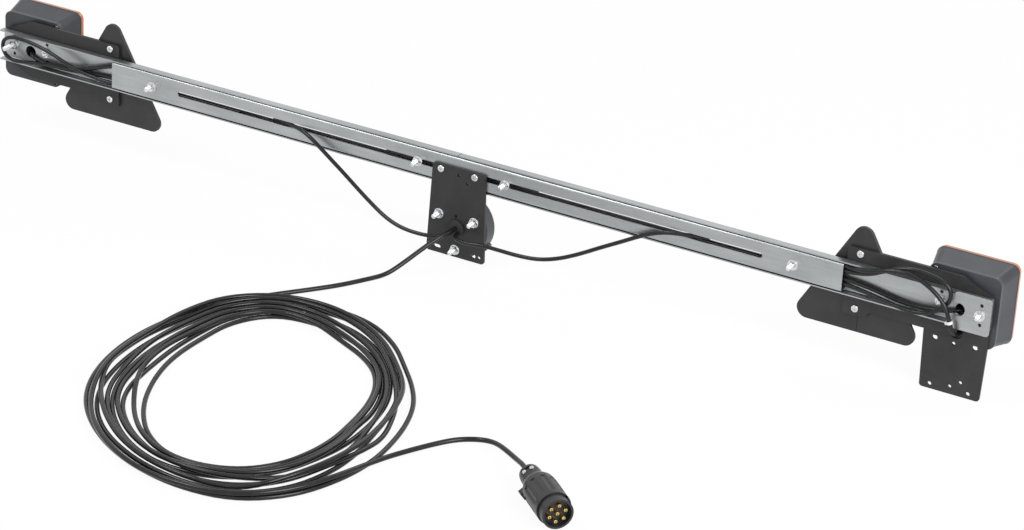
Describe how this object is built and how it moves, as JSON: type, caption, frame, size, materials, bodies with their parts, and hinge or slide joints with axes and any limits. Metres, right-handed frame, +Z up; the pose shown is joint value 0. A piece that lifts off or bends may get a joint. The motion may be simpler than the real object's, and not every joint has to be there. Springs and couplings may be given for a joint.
{
  "type": "trailer lighting board",
  "caption": "Extendable trailer lighting board: slotted zinc rails with a lamp and a triangular reflector at each end, a hanging rear fog lamp, and a coiled cable with a round plug.",
  "frame": {"origin": "middle of the centre rail's front face, where the board is held against the vehicle or trailer", "axes": "+X along the board to the right as seen from the vehicle, +Y the way the lenses face, +Z up"},
  "size_m": [1.4244, 0.7605, 0.1807],
  "materials": {
    "zinc_sheet": "bright zinc-plated sheet, slightly dull",
    "zinc_fasteners": "bright zinc plate",
    "black_steel": "satin black powder coat",
    "lamp_plastic": "moulded charcoal plastic",
    "black_plastic": "moulded black plastic",
    "lamp_lens": "clear moulded amber and red",
    "red_lens": "clear moulded red with fine ribs",
    "reflector_red": "red prismatic reflector",
    "mirror_plating": "bright plated dish",
    "bulb_glass": "clear glass",
    "black_rubber": "soft black rubber",
    "cable_sheath": "dark grey sheath with a soft shine",
    "plug_plastic": "moulded black plastic",
    "pin_brass": "turned brass",
    "pale_nylon": "natural nylon"
  },
  "bodies": {
    "centre_section": {"bracket_screws": "zinc_fasteners", "bracket_square_nuts": "zinc_fasteners", "cable_grommet": "black_rubber", "centre_bracket": "black_steel", "centre_rail": "zinc_sheet", "fog_lamp_bulb": "bulb_glass", "fog_lamp_housing": "lamp_plastic", "fog_lamp_lens": "red_lens", "fog_lamp_nuts": "zinc_fasteners", "fog_lamp_reflector": "mirror_plating", "fog_lamp_studs": "zinc_fasteners", "left_lead": "cable_sheath", "main_cable_coil": "cable_sheath", "main_cable_run": "cable_sheath", "main_cable_tail": "cable_sheath", "outer_clamp_bolts": "zinc_fasteners", "outer_clamp_nuts": "zinc_fasteners", "plug_cap": "plug_plastic", "plug_cap_screws": "zinc_fasteners", "plug_insert": "plug_plastic", "plug_pins": "pin_brass", "plug_shell": "plug_plastic", "right_lead": "cable_sheath"},
    "left_arm": {"left_arm_rail": "zinc_sheet", "left_carrier_plate": "black_steel", "left_inner_clamp_bolt": "zinc_fasteners", "left_inner_clamp_nut": "zinc_fasteners", "left_lamp_bulbs": "bulb_glass", "left_lamp_cable": "cable_sheath", "left_lamp_housing": "lamp_plastic", "left_lamp_lens": "lamp_lens", "left_lamp_nuts": "zinc_fasteners", "left_lamp_pad": "black_rubber", "left_lamp_reflector": "mirror_plating", "left_lamp_studs": "zinc_fasteners", "left_lens_screws": "zinc_fasteners", "left_slack_cable": "cable_sheath", "left_triangle_back": "black_plastic", "left_triangle_reflector": "reflector_red", "left_triangle_screws": "zinc_fasteners"},
    "right_arm": {"right_arm_rail": "zinc_sheet", "right_cable_tie": "pale_nylon", "right_carrier_plate": "black_steel", "right_cover_plate": "zinc_sheet", "right_inner_clamp_bolt": "zinc_fasteners", "right_inner_clamp_nut": "zinc_fasteners", "right_lamp_bulbs": "bulb_glass", "right_lamp_cable": "cable_sheath", "right_lamp_housing": "lamp_plastic", "right_lamp_lens": "lamp_lens", "right_lamp_nuts": "zinc_fasteners", "right_lamp_reflector": "mirror_plating", "right_lamp_studs": "zinc_fasteners", "right_lens_screws": "zinc_fasteners", "right_slack_cable": "cable_sheath", "right_spare_bracket": "black_steel", "right_triangle_back": "black_plastic", "right_triangle_reflector": "reflector_red", "right_triangle_screws": "zinc_fasteners"}
  },
  "joints": [
    {"name": "left_arm_slide", "type": "slide", "parent": "centre_section", "child": "left_arm", "axis": [-1, 0, 0], "range_m": [0, 0.135]},
    {"name": "right_arm_slide", "type": "slide", "parent": "centre_section", "child": "right_arm", "axis": [1, 0, 0], "range_m": [0, 0.185]}
  ]
}
